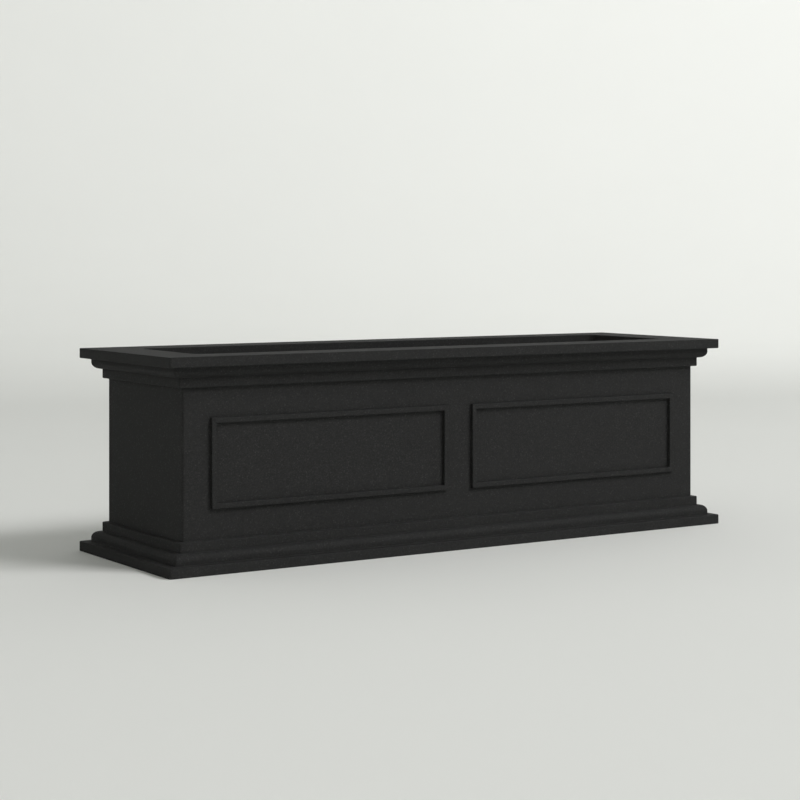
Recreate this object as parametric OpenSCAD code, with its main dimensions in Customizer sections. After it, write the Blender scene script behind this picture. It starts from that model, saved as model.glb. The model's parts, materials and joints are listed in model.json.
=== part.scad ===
// Self-watering trough planter: a moulded casing with crown and base mouldings,
// a water tank inside it, and a lift-out planting liner with its watering fittings.
// Millimetres, +Z up, front at -Y, origin at the centre of the base.

/* [Overall size] */
// Length over the lip and plinth
length = 914; // [880:2:1100]
// Depth over the lip and plinth, front to back
depth = 280; // [276:2:320]
// Height from the floor to the top of the rim
height = 277; // [270:1:330]

/* [Mouldings] */
// Height of the flat lip, and of the plinth
lip_h = 13.5; // [11:0.5:16]
// Height of the quarter-round course next to the lip
round_h = 14.2; // [13:0.1:16]
// Height of the square course next to the wall
square_h = 12.9; // [10:0.1:15]
// Radius of the quarter-round
round_r = 9; // [7:0.5:9.5]
// How far the round course stands back from the lip, at the front
round_step = 10.8; // [9:0.1:12]
// How far the square course stands back from the lip, at the front
square_step = 21.3; // [20.5:0.1:23]
// How far the wall stands back from the lip, at the front
wall_step = 27.4; // [27:0.1:30]
// Ratio of the steps at the ends to the steps at the front
end_ratio = 1.14; // [1:0.01:1.16]

/* [Casing] */
// Thickness of the casing wall
wall = 4; // [3:0.5:4.5]
// Radius of the upright corners
corner_r = 3; // [1:0.5:5]
// Width of the flat rim along the front and back
rim_front = 57; // [55:1:60]
// Width of the flat rim at the ends
rim_end = 65; // [60:1:70]
// Depth of the well from the rim down to the liner ledge
well_h = 17; // [15:1:20]

/* [Panel frames] */
// Flat margin around each raised frame
panel_margin = 39.5; // [30:0.5:50]
// Gap between the two frames of one side
panel_gap = 40; // [36:1:60]
// Width of the raised bead
bead_w = 7.2; // [5:0.1:10]
// How far the bead stands proud of the wall
bead_h = 5; // [3:0.5:7]

/* [Water tank] */
// Height of the tank walls above the base plate
tank_h = 86; // [82:1:90]
// Thickness of the tank wall
tank_wall = 3; // [2:0.5:4]
// Height of the overflow's centre above the floor
overflow_z = 80; // [70:1:82]

/* [Planting liner] */
// Height of the underside of the liner floor above the ground
liner_floor_z = 100; // [98:1:110]
// Thickness of the liner wall
liner_wall = 3; // [2.5:0.5:4]
// Number of wicking cups
cup_count = 4; // [4:1:4]
// Distance between wicking cups
cup_pitch = 150; // [120:5:150]
// Outer radius of a wicking cup
cup_r = 35; // [28:1:36]

/* [Watering fittings] */
// Distance of the fill tube and the level gauge from the middle
fitting_x = 300; // [290:1:302]
// Outer radius of the fill tube
fill_r = 20; // [18:0.5:20]
// Outer radius of the level gauge tube
gauge_r = 12; // [11:0.5:12]
// Travel of the float from empty to full
float_travel = 46; // [30:1:46]

/* [Hidden] */
$fn = 64;
tiny = 0.01;

// Heights of the courses, base and crown alike
course_1 = lip_h;
course_2 = lip_h + round_h;
course_3 = lip_h + round_h + square_h;
wall_top = height - course_3;
wall_y = depth / 2 - wall_step;
wall_x = length / 2 - wall_step * end_ratio;

// Well and ledge that the liner hangs in
well_l = length - 2 * rim_end;
well_w = depth - 2 * rim_front;
well_r = 12;
ledge_w = 9;
ledge_z = height - well_h;
skirt_h = 16;

// Base plate, its screws and feet
plate_t = 4;
plate_top = lip_h - wall;
plate_z = plate_top - plate_t;
screw_inset = 22;
screw_x = length / 2 - screw_inset * end_ratio;
screw_y = depth / 2 - screw_inset;
screw_places = [for (i = [-2:2], s = [-1, 1]) [i * screw_x / 2, s * screw_y]];
boss_r = 6;
boss_h = course_2 - wall - plate_top;
insert_r = 4;
insert_h = 10;
shank_r = 2.5;
foot_r = 14;
foot_stem_r = 4;
foot_places = [for (i = [-1:1], s = [-1, 1]) [i * (length / 2 - 77), s * (depth / 2 - 45)]];

// Tank
tank_gap = 1.6;
tank_x = wall_x - wall - tank_gap;
tank_y = wall_y - wall - tank_gap;
tank_floor = plate_top + tank_wall;
tank_r = 20;

// Overflow, along +Y through the back wall
overflow_bore_r = 5.5;
overflow_stem_r = 7.5;
overflow_flange_r = 14;
overflow_flange_t = 3.5;
overflow_hole = 2 * overflow_stem_r + 0.4;
gasket_r = 11;
nut_t = 8;
nut_r = 13.8;
spout_end = depth / 2 - 9;

// Drain, straight down through the tank floor
drain_r = 12;
drain_boss_r = 17;
drain_boss_h = 14;
drain_flange_r = 20;
drain_access_r = 24;
o_ring_r = 1.4;
o_ring_z = plate_top + 5;

// Liner
liner_clear = 1;
liner_flange_t = 3;
liner_l = well_l - 2 * ledge_w - 2 * liner_clear;
liner_w = well_w - 2 * ledge_w - 2 * liner_clear;
liner_in_x = liner_l / 2 - liner_wall;
liner_in_y = liner_w / 2 - liner_wall;
liner_floor_top = liner_floor_z + liner_wall;
liner_r = 10;
cup_places = [for (i = [0:cup_count - 1]) (i - (cup_count - 1) / 2) * cup_pitch];
cup_wall = 2.5;
cup_flange_r = cup_r + 6;
cup_bottom = tank_floor + 0.3;
slot_w = 4;

// Fill tube and its flip cap
fill_y = liner_in_y - fill_r - 6;
fill_wall = 2;
fill_bottom = tank_floor + 3.6;
fill_top = ledge_z - 8;
collar_r = fill_r + 3;
collar_h = 18;
collar_z = ledge_z - 2 - collar_h;
cap_r = collar_r + 0.5;
cap_t = 3;
cap_gap = 0.3;
cap_mouth_r = fill_r - 3;
cap_plug_r = cap_mouth_r - 0.6;
cap_plug_h = 4;
hinge_x = fitting_x - collar_r - 4;
hinge_z = collar_z + collar_h;
knuckle_r = 3.2;
knuckle_w = 9.4;
pin_r = 1.5;
ear_w = 3.5;

// Level gauge
gauge_x = -fitting_x;
gauge_y = liner_in_y - gauge_r - 8;
gauge_wall = 1.8;
gauge_bottom = tank_floor + 5.6;
gauge_top = ledge_z - 10;
gauge_in_r = gauge_r - gauge_wall;
float_h = 34;
float_z = gauge_bottom + 6;
float_r = gauge_in_r - 1.2;
rod_r = 2.5;
rod_top = gauge_top + gauge_in_r - 2.5 - float_travel;

// Lift handles: steel bails with sleeves, folded flat inside the liner's ends
wire_r = 3;
bend_r = 6;
pivot_x = liner_in_x - 54;
pivot_z = ledge_z - 6;
pivot_in = 7;
lug_w = 6;
lug_y = liner_in_y - lug_w;
arm_y = lug_y - 1 - bend_r;
bail_reach = 45;
grip_r = 7;
grip_l = 84;

outer_casing();
base_plate();
base_screws();
threaded_inserts();
rubber_foot(0);  // rubber_foot_1
rubber_foot(1);  // rubber_foot_2
rubber_foot(2);  // rubber_foot_3
rubber_foot(3);  // rubber_foot_4
rubber_foot(4);  // rubber_foot_5
rubber_foot(5);  // rubber_foot_6
reservoir_tank();
overflow_spout();
overflow_gasket();
overflow_nut();
drain_plug();
drain_o_ring();
planting_liner();
wick_cup(0);  // wick_cup_1
wick_cup(1);  // wick_cup_2
wick_cup(2);  // wick_cup_3
wick_cup(3);  // wick_cup_4
fill_tube();
fill_collar();
fill_grommet();
fill_tube_clip();
fill_cap();
cap_hinge_pin();
gauge_tube();
gauge_foot();
gauge_lens();
gauge_grommet();
gauge_tube_clip();
level_float();
level_rod();
handle_bail(-1);  // left_handle_bail
handle_grip(-1);  // left_handle_grip
handle_bail(1);  // right_handle_bail
handle_grip(1);  // right_handle_grip

// ---- Shared shapes ----

// Rectangle with round corners, centred
module round_rect(l, w, r) {
    square([l, w - 2 * r], center = true);
    square([l - 2 * r, w], center = true);
    for (x = [-1, 1], y = [-1, 1])
        translate([x * (l / 2 - r), y * (w / 2 - r)]) circle(r);
}

// Upright block with round corners, from z0 to z1
module block(l, w, r, z0, z1) {
    translate([0, 0, z0]) linear_extrude(z1 - z0) round_rect(l, w, r);
}

// One square-faced course of the casing, set back by the given front step
module course(step, z0, z1) {
    block(length - 2 * step * end_ratio, depth - 2 * step, corner_r, z0, z1);
}

// Ring standing on z0
module ring(r_out, r_in, h, z0) {
    translate([0, 0, z0]) difference() {
        cylinder(r = r_out, h = h);
        translate([0, 0, -1]) cylinder(r = r_in, h = h + 2);
    }
}

// Square hole for the overflow's neck, through a back wall whose inner face is at y
module keyed_hole(y, thickness) {
    translate([-overflow_hole / 2, y - 2, overflow_z - overflow_hole / 2])
        cube([overflow_hole, thickness + 4, overflow_hole]);
}

// ---- Casing ----

// Section of a quarter-round course: upright face, then the round, going up from z = 0
module round_section(half) {
    straight = round_h - round_r;
    translate([-half, 0]) square([2 * half, straight]);
    translate([-half + round_r, 0]) square([2 * (half - round_r), round_h]);
    intersection() {
        for (s = [-1, 1]) translate([s * (half - round_r), straight]) circle(round_r);
        translate([-half, 0]) square([2 * half, round_h]);
    }
}

// Quarter-round course with mitred corners
module round_course() {
    half_x = length / 2 - round_step * end_ratio;
    half_y = depth / 2 - round_step;
    intersection() {
        rotate([90, 0, 90]) translate([0, 0, -half_x - 1]) linear_extrude(2 * half_x + 2) round_section(half_y);
        rotate([90, 0, 0]) translate([0, 0, -half_y - 1]) linear_extrude(2 * half_y + 2) round_section(half_x);
    }
}

module casing_outside() {
    course(0, 0, course_1);
    translate([0, 0, course_1]) round_course();
    course(square_step, course_2 - tiny, course_3);
    course(wall_step, course_3 - tiny, wall_top + tiny);
    course(square_step, wall_top, height - course_2 + tiny);
    translate([0, 0, height - course_1]) mirror([0, 0, 1]) round_course();
    course(0, height - course_1, height);
}

// Hollow inside the casing, one step for each course
module casing_hollow() {
    soft = round_step + wall + 1;
    course(wall, -1, plate_top);
    course(soft, -1, course_2 - wall - 1);
    course(square_step + wall, -1, course_3 - wall);
    course(wall_step + wall, -1, height - wall);
    course(square_step + wall, wall_top + wall, height - wall);
    course(soft, height - course_2 + wall + 1, height - wall);
    course(wall, height - course_1 + wall, height - wall);
}

// Well below the rim: upright lip, ledge for the liner, and a skirt
module liner_well() {
    difference() {
        union() {
            block(well_l + 2 * wall, well_w + 2 * wall, well_r + wall, ledge_z - wall, height - tiny);
            block(well_l - 2 * ledge_w + 2 * wall, well_w - 2 * ledge_w + 2 * wall, well_r,
                ledge_z - skirt_h - wall, ledge_z);
        }
        block(well_l, well_w, well_r, ledge_z, height + 1);
        block(well_l - 2 * ledge_w, well_w - 2 * ledge_w, well_r - wall + 3, ledge_z - skirt_h - wall - 1, height);
    }
}

// Raised rectangular frame on the front face
module panel_frame(x) {
    l = wall_x - panel_margin - panel_gap / 2;
    h = wall_top - course_3 - 2 * panel_margin;
    translate([x, -wall_y + tiny, (wall_top + course_3) / 2]) rotate([90, 0, 0]) linear_extrude(bead_h + tiny)
        difference() {
            square([l, h], center = true);
            square([l - 2 * bead_w, h - 2 * bead_w], center = true);
        }
}

module outer_casing() {
    panel_x = (wall_x - panel_margin + panel_gap / 2) / 2;
    color([0.17, 0.17, 0.17]) difference() {
        union() {
            difference() {
                casing_outside();
                casing_hollow();
                block(well_l, well_w, well_r, height - wall - 1, height + 1);
            }
            liner_well();
            for (turn = [0, 180], s = [-1, 1]) rotate(turn) panel_frame(s * panel_x);
            for (p = screw_places) translate([p.x, p.y, plate_top]) cylinder(r = boss_r, h = boss_h);
        }
        for (p = screw_places) translate([p.x, p.y, plate_top - 1]) cylinder(r = insert_r, h = insert_h + 2);
        keyed_hole(wall_y - wall, wall);
    }
}

// ---- Base ----

module base_plate() {
    gap = 0.5;
    color([0.2, 0.2, 0.2]) difference() {
        block(length - 2 * (wall * end_ratio + gap), depth - 2 * (wall + gap), corner_r, plate_z, plate_top);
        for (p = screw_places) translate([p.x, p.y, 0]) cylinder(r = shank_r + 0.3, h = plate_top + 1);
        for (p = foot_places) translate([p.x, p.y, 0]) cylinder(r = foot_stem_r, h = plate_top + 1);
        cylinder(r = drain_access_r, h = plate_top + 1);
    }
}

module base_screws() {
    head_h = 2.6;
    color("silver") for (p = screw_places) translate([p.x, p.y, 0]) difference() {
        union() {
            translate([0, 0, plate_z - head_h]) cylinder(r = 4.6, h = head_h);
            translate([0, 0, plate_z - tiny]) cylinder(r = shank_r, h = 14);
        }
        for (turn = [0, 90]) rotate(turn) translate([-2.5, -0.5, plate_z - head_h - 1]) cube([5, 1, 2.4]);
    }
}

module threaded_inserts() {
    color("goldenrod") for (p = screw_places) translate([p.x, p.y, 0])
        ring(insert_r, shank_r + 0.1, insert_h, plate_top);
}

module rubber_foot(i) {
    color([0.1, 0.1, 0.1]) translate([foot_places[i].x, foot_places[i].y, 0]) {
        cylinder(r = foot_r, h = plate_z);
        cylinder(r = foot_stem_r, h = plate_top - 0.2);
    }
}

// ---- Tank, overflow and drain ----

module reservoir_tank() {
    color([0.25, 0.26, 0.27]) difference() {
        union() {
            difference() {
                block(2 * tank_x, 2 * tank_y, tank_r, plate_top, plate_top + tank_h);
                block(2 * (tank_x - tank_wall), 2 * (tank_y - tank_wall), tank_r - tank_wall,
                    tank_floor, plate_top + tank_h + 1);
            }
            translate([0, 0, plate_top]) cylinder(r = drain_boss_r, h = drain_boss_h);
        }
        cylinder(r = drain_r, h = plate_top + drain_boss_h + 1);
        keyed_hole(tank_y - tank_wall, tank_wall);
    }
}

// Flanged spout through both walls: a square neck keeps it from turning, and a low barb holds a hose
module overflow_spout() {
    inner_end = tank_y - tank_wall - nut_t - 2;
    neck = wall_y + overflow_flange_t;
    square_start = tank_y - tank_wall;
    color([0.2, 0.2, 0.2]) translate([0, 0, overflow_z]) rotate([-90, 0, 0]) difference() {
        union() {
            translate([0, 0, inner_end]) cylinder(r = overflow_stem_r, h = neck - inner_end);
            translate([-overflow_stem_r, -overflow_stem_r, square_start])
                cube([2 * overflow_stem_r, 2 * overflow_stem_r, wall_y - square_start + tiny]);
            translate([0, 0, wall_y]) cylinder(r = overflow_flange_r, h = overflow_flange_t);
            translate([0, 0, neck - tiny]) cylinder(r = overflow_stem_r, h = spout_end - neck);
            translate([0, 0, spout_end - 7]) cylinder(r1 = overflow_stem_r + 1, r2 = overflow_stem_r - 0.5, h = 7);
        }
        translate([0, 0, inner_end - 1]) cylinder(r = overflow_bore_r, h = spout_end - inner_end + 2);
    }
}

module overflow_gasket() {
    color([0.08, 0.08, 0.08]) translate([0, tank_y, overflow_z]) rotate([-90, 0, 0])
        ring(overflow_flange_r + 1, gasket_r, tank_gap, 0);
}

module overflow_nut() {
    color([0.2, 0.2, 0.2]) translate([0, tank_y - tank_wall - nut_t, overflow_z]) rotate([-90, 0, 0]) difference() {
        cylinder(r = nut_r, h = nut_t, $fn = 6);
        translate([0, 0, -1]) cylinder(r = overflow_stem_r, h = nut_t + 2);
    }
}

// Quarter-turn plug with a finger bar, worked from under the planter
module drain_plug() {
    bar_z = 2;
    flange_z = plate_top - 3.2;
    color([0.75, 0.2, 0.15]) difference() {
        union() {
            translate([-15, -3, bar_z]) cube([30, 6, flange_z - bar_z + tiny]);
            translate([0, 0, flange_z]) cylinder(r = drain_flange_r, h = 3);
            translate([0, 0, flange_z]) cylinder(r = drain_r - 0.08, h = drain_boss_h + 1);
        }
        translate([0, 0, o_ring_z]) rotate_extrude() translate([drain_r - 0.1, 0]) circle(2 * o_ring_r);
    }
}

module drain_o_ring() {
    color([0.08, 0.08, 0.08]) translate([0, 0, o_ring_z]) rotate_extrude()
        translate([drain_r - 0.05 - o_ring_r, 0]) circle(o_ring_r);
}

// ---- Liner ----

// Slot with round ends, cut down through the liner floor, long side along Y
module floor_slot(x, y, l) {
    translate([x, y, liner_floor_z - 1]) {
        translate([-slot_w / 2, -l / 2, 0]) cube([slot_w, l, liner_wall + 2]);
        for (s = [-1, 1]) translate([0, s * l / 2, 0]) cylinder(r = slot_w / 2, h = liner_wall + 2);
    }
}

module air_slots() {
    spread = 15;
    for (i = [-1:1], j = [-1:1]) floor_slot(i * cup_pitch + j * spread, 0, 90);
    for (s = [-1, 1], j = [-1:1]) floor_slot(s * fitting_x + j * spread, -30, 50);
}

// Ear on the inside of a long wall that carries one end of a bail
module handle_lug(side, s) {
    low = s > 0 ? lug_y : -lug_y - lug_w - 1;
    translate([side * pivot_x - 8, low, pivot_z - 10]) cube([16, lug_w + 1, 18]);
}

module planting_liner() {
    rib_y = 45;
    rib_h = 6;
    peg_z = pivot_z - wire_r - 0.1;
    color([0.22, 0.22, 0.22]) difference() {
        union() {
            difference() {
                union() {
                    block(well_l - 2 * liner_clear, well_w - 2 * liner_clear, well_r - 1,
                        ledge_z, ledge_z + liner_flange_t);
                    block(liner_l, liner_w, liner_r, liner_floor_z, ledge_z + tiny);
                }
                block(2 * liner_in_x, 2 * liner_in_y, liner_r - liner_wall, liner_floor_top, height);
            }
            for (side = [-1, 1], s = [-1, 1]) {
                handle_lug(side, s);
                translate([side * (liner_in_x - 6) - 7, s * (grip_l / 2 + 5) - 2.5, peg_z - 5]) cube([14, 5, 5]);
            }
            for (s = [-1, 1]) translate([-255, s * rib_y - 1.5, liner_floor_z - rib_h]) cube([510, 3, rib_h + tiny]);
        }
        for (x = cup_places) translate([x, 0, liner_floor_z - 1]) cylinder(r = cup_r + 0.3, h = liner_wall + 2);
        translate([fitting_x, fill_y, liner_floor_z - 1]) cylinder(r = fill_r + 3, h = liner_wall + 2);
        translate([gauge_x, gauge_y, liner_floor_z - 1]) cylinder(r = gauge_r + 3, h = liner_wall + 2);
        air_slots();
        for (side = [-1, 1]) translate([side * pivot_x, -liner_in_y, pivot_z]) rotate([-90, 0, 0])
            cylinder(r = wire_r + 0.08, h = 2 * liner_in_y);
    }
}

// Slotted cup that dips into the water and holds a column of soil
module wick_cup(i) {
    slots = 12;
    slot_z = cup_bottom + 12;
    slot_h = 52;
    color([0.3, 0.3, 0.3]) translate([cup_places[i], 0, 0]) difference() {
        union() {
            translate([0, 0, cup_bottom]) cylinder(r = cup_r, h = liner_floor_top - cup_bottom + tiny);
            translate([0, 0, liner_floor_top]) cylinder(r = cup_flange_r, h = 2);
        }
        translate([0, 0, cup_bottom + cup_wall]) cylinder(r = cup_r - cup_wall, h = liner_floor_top);
        for (k = [0:slots - 1]) rotate(k * 360 / slots) {
            translate([cup_r - 2 * cup_wall, -slot_w / 2, slot_z]) cube([4 * cup_wall, slot_w, slot_h]);
        }
        for (k = [0:5]) rotate(k * 60) translate([18, 0, cup_bottom - 1]) cylinder(r = 3, h = cup_wall + 2);
        translate([0, 0, cup_bottom - 1]) cylinder(r = 3, h = cup_wall + 2);
    }
}

// ---- Fill tube ----

module fill_tube() {
    color([0.2, 0.2, 0.2]) translate([fitting_x, fill_y, 0]) difference() {
        ring(fill_r, fill_r - fill_wall, fill_top - fill_bottom, fill_bottom);
        for (turn = [45, 135]) rotate(turn) translate([-fill_r - 1, -4, fill_bottom - 1])
            cube([2 * fill_r + 2, 8, 11]);
    }
}

module fill_collar() {
    color([0.13, 0.13, 0.13]) {
        difference() {
            union() {
                translate([fitting_x, fill_y, collar_z]) cylinder(r = collar_r, h = collar_h);
                for (s = [-1, 1]) translate([0, fill_y + s * (knuckle_w / 2 + 0.3 + ear_w / 2), 0]) {
                    translate([hinge_x, ear_w / 2, hinge_z]) rotate([90, 0, 0]) cylinder(r = knuckle_r, h = ear_w);
                    translate([hinge_x - knuckle_r, -ear_w / 2, hinge_z - 8]) cube([10, ear_w, 8]);
                }
            }
            translate([fitting_x, fill_y, collar_z - 1]) cylinder(r = fill_r, h = fill_top - collar_z + 1);
            translate([fitting_x, fill_y, collar_z]) cylinder(r = cap_mouth_r, h = collar_h + 1);
            translate([hinge_x, fill_y + 20, hinge_z]) rotate([90, 0, 0]) cylinder(r = pin_r, h = 40);
        }
    }
}

module cap_hinge_pin() {
    half = knuckle_w / 2 + 0.3 + ear_w;
    color("silver") translate([hinge_x, fill_y + half, hinge_z]) rotate([90, 0, 0])
        cylinder(r = pin_r, h = 2 * half);
}

// Flip cap: disc, plug that seats in the collar's mouth, thumb tab and hinge knuckle
module fill_cap() {
    cap_z = hinge_z + cap_gap;
    color([0.13, 0.13, 0.13]) difference() {
        union() {
            translate([fitting_x, fill_y, cap_z]) cylinder(r = cap_r, h = cap_t);
            translate([fitting_x, fill_y, hinge_z - cap_plug_h])
                cylinder(r = cap_plug_r, h = cap_plug_h + cap_gap + tiny);
            translate([fitting_x + cap_r - 2, fill_y - 6, cap_z]) cube([8, 12, 2]);
            translate([hinge_x, fill_y - knuckle_w / 2, cap_z]) cube([12, knuckle_w, cap_t]);
            translate([hinge_x, fill_y + knuckle_w / 2, hinge_z]) rotate([90, 0, 0])
                cylinder(r = knuckle_r, h = knuckle_w);
        }
        translate([hinge_x, fill_y + knuckle_w, hinge_z]) rotate([90, 0, 0])
            cylinder(r = pin_r + 0.07, h = 2 * knuckle_w);
        translate([fitting_x, fill_y, hinge_z - cap_plug_h - 1])
            cylinder(r = cap_plug_r - 2, h = cap_plug_h + 1);
    }
}

// Rubber ring that seals a tube where it passes the liner floor
module grommet(tube_r, lip) {
    ring(tube_r + 3, tube_r, liner_wall + 1.5, liner_floor_z - 1.5 + tiny);
    ring(tube_r + lip, tube_r, 2, liner_floor_top);
}

// Plastic clip that holds a tube off the liner's back wall
module tube_clip(tube_r, gap) {
    h = 12;
    z0 = ledge_z - 70;
    ring(tube_r + 2.5, tube_r, h, z0);
    difference() {
        translate([-8, tube_r + 0.5, z0]) cube([16, gap - 0.5, h]);
        translate([0, 0, z0 - 1]) cylinder(r = tube_r + 1, h = h + 2);
    }
}

module fill_grommet() {
    color([0.08, 0.08, 0.08]) translate([fitting_x, fill_y, 0]) grommet(fill_r, 5.5);
}

module gauge_grommet() {
    color([0.08, 0.08, 0.08]) translate([gauge_x, gauge_y, 0]) grommet(gauge_r, 6);
}

module fill_tube_clip() {
    color([0.13, 0.13, 0.13]) translate([fitting_x, fill_y, 0]) tube_clip(fill_r, 6);
}

module gauge_tube_clip() {
    color([0.13, 0.13, 0.13]) translate([gauge_x, gauge_y, 0]) tube_clip(gauge_r, 8);
}

// ---- Level gauge ----

module gauge_tube() {
    color([0.85, 0.9, 0.9, 0.5]) translate([gauge_x, gauge_y, 0])
        ring(gauge_r, gauge_in_r, gauge_top - gauge_bottom, gauge_bottom);
}

module gauge_foot() {
    color([0.13, 0.13, 0.13]) translate([gauge_x, gauge_y, 0]) {
        ring(gauge_r, 5, 3, gauge_bottom - 3);
        ring(gauge_in_r, 5, 5.5, gauge_bottom - tiny);
    }
}

// Clear dome that the rod's tip rises into
module gauge_lens() {
    skirt = 10;
    color([0.85, 0.9, 0.9, 0.5]) translate([gauge_x, gauge_y, gauge_top]) {
        ring(gauge_r + 2, gauge_r, skirt, -skirt);
        rotate_extrude() intersection() {
            difference() {
                circle(gauge_r + 2);
                circle(gauge_in_r);
            }
            square(gauge_r + 3);
        }
    }
}

module level_float() {
    color([0.95, 0.95, 0.9]) translate([gauge_x, gauge_y, 0]) rotate_extrude() {
        translate([0, float_z]) square([float_r - 3, float_h]);
        translate([0, float_z + 3]) square([float_r, float_h - 6]);
        for (z = [3, float_h - 3]) translate([float_r - 3, float_z + z]) circle(3);
    }
}

module level_rod() {
    color("red") translate([gauge_x, gauge_y, float_z + float_h]) cylinder(r = rod_r, h = rod_top - float_z - float_h);
}

// ---- Lift handles ----

// Quarter bend of the bail wire, in the XY plane, centre of the bend at the origin
module bend(start) {
    rotate(start) rotate_extrude(angle = 90) translate([bend_r, 0]) circle(wire_r);
}

// U-shaped steel bail; side is -1 at the left end and 1 at the right end
module handle_bail(side) {
    bar_y = arm_y - bend_r;
    color("silver") translate([side * pivot_x, 0, pivot_z]) mirror([side < 0 ? 1 : 0, 0, 0]) {
        for (s = [0, 1]) mirror([0, s, 0]) {
            translate([0, arm_y + bend_r, 0]) rotate([-90, 0, 0]) cylinder(r = wire_r, h = lug_w + 0.5);
            translate([bend_r, arm_y + bend_r, 0]) bend(180);
            translate([bend_r, arm_y, 0]) rotate([0, 90, 0]) cylinder(r = wire_r, h = bail_reach - 2 * bend_r);
            translate([bail_reach - bend_r, bar_y, 0]) bend(0);
        }
        translate([bail_reach, -bar_y, 0]) rotate([-90, 0, 0]) cylinder(r = wire_r, h = 2 * bar_y);
    }
}

module handle_grip(side) {
    color([0.13, 0.13, 0.13]) translate([side * (pivot_x + bail_reach), -grip_l / 2, pivot_z]) rotate([-90, 0, 0])
        ring(grip_r, wire_r, grip_l, 0);
}
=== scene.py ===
"""Self-watering trough planter: moulded charcoal casing, water tank, lift-out liner and watering fittings.

Metres, +Z up, front at -Y. Every piece is built round the fixed frame and rides on one of its bodies.
"""

import json
from collections import namedtuple
from math import cos, pi, radians, sin, tan

import bmesh
import bpy
from mathutils import Matrix, Vector


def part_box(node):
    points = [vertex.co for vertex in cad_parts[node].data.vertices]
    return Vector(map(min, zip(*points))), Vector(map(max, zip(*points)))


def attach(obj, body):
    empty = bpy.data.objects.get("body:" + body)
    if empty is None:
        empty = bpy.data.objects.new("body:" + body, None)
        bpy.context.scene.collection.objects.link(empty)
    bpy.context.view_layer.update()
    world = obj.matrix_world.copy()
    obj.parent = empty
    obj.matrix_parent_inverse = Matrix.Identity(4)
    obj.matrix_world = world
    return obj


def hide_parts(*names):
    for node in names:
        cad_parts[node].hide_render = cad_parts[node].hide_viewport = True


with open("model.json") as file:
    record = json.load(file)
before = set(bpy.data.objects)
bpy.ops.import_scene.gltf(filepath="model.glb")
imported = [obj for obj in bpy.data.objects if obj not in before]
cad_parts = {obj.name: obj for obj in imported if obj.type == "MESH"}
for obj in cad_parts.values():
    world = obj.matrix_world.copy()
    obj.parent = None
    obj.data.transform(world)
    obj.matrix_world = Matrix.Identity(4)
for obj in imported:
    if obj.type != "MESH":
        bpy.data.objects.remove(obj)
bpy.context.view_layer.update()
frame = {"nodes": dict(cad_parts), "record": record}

MM = 0.001
RECORD = frame["record"]
BODY = {node: body for body, nodes in RECORD["behaviour"]["bodies"].items() for node in nodes}
SLOT = {part["node"]: part["material_slot"] for part in RECORD["subparts"]}

# ---- Sizes ----

# Casing: overall size from the frame, then its courses, rim, well and panel frames
HALF_X, HALF_Y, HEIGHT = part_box("outer_casing")[1]
LIP_H, ROUND_H, SQUARE_H = 13.5 * MM, 14.2 * MM, 12.9 * MM
ROUND_R = 9 * MM
ROUND_STEP, SQUARE_STEP, WALL_STEP = 10.8 * MM, 21.3 * MM, 27.4 * MM
END_RATIO = 1.14
WALL = 4 * MM
CORNER_R = 3 * MM
RIM_FRONT, RIM_END = 57 * MM, 65 * MM
WELL_R = 12 * MM
LEDGE_Z, LEDGE_W, SKIRT_H = HEIGHT - 17 * MM, 9 * MM, 20 * MM
WALL_X, WALL_Y = HALF_X - WALL_STEP * END_RATIO, HALF_Y - WALL_STEP
WALL_BOTTOM = LIP_H + ROUND_H + SQUARE_H
WALL_TOP = HEIGHT - WALL_BOTTOM
PANEL_MARGIN, PANEL_GAP = 39.5 * MM, 40 * MM
BEAD_W, BEAD_H = 7.2 * MM, 5 * MM
PLATE_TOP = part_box("base_plate")[1].z
BOSS_R, BOSS_TOP = 6 * MM, LIP_H + ROUND_H - WALL

# How soft a moulded edge is: a crisp one, a worn one, and an inside corner
CRISP, WORN, INSIDE = 0.6 * MM, 1.2 * MM, 0.8 * MM

# Overflow, along +Y through the back wall
OVERFLOW_Z = (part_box("overflow_nut")[0].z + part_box("overflow_nut")[1].z) / 2
STEM_R, BORE_R, FLANGE_R, FLANGE_T = 7.5 * MM, 5.5 * MM, 14 * MM, 3.5 * MM
KEY_HOLE = 15.4 * MM

CORNER_STEPS = 6
SMOOTH = radians(38)

Corner = namedtuple("Corner", "half_x half_y z soft radius")


# ---- Shared modelling ----


def corner_arc(before, corner, after, soft):
    """Offsets from a corner to the points of the arc that rounds it."""
    if not soft:
        return [Vector((0, 0))]
    to_before, to_after = (before - corner).normalized(), (after - corner).normalized()
    half = to_before.angle(to_after) / 2
    centre = (to_before + to_after).normalized() * (soft / sin(half))
    start = to_before * (soft / tan(half)) - centre
    end = to_after * (soft / tan(half)) - centre
    turn = (pi - 2 * half) * (1 if start.cross(end) > 0 else -1)
    steps = 10 if soft > 3 * MM else 3
    return [centre + Matrix.Rotation(turn * k / steps, 2) @ start for k in range(steps + 1)]


def corner_point(place, half_x, half_y, radius):
    """Where a vertex with that place in the ring lies on a rectangle with round corners."""
    quarter, step = divmod(place, CORNER_STEPS + 1)
    angle = radians(90 * (quarter + step / CORNER_STEPS))
    side_x, side_y = ((1, 1), (-1, 1), (-1, -1), (1, -1))[quarter]
    return (
        side_x * (half_x - radius) + radius * cos(angle),
        side_y * (half_y - radius) + radius * sin(angle),
    )


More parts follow.
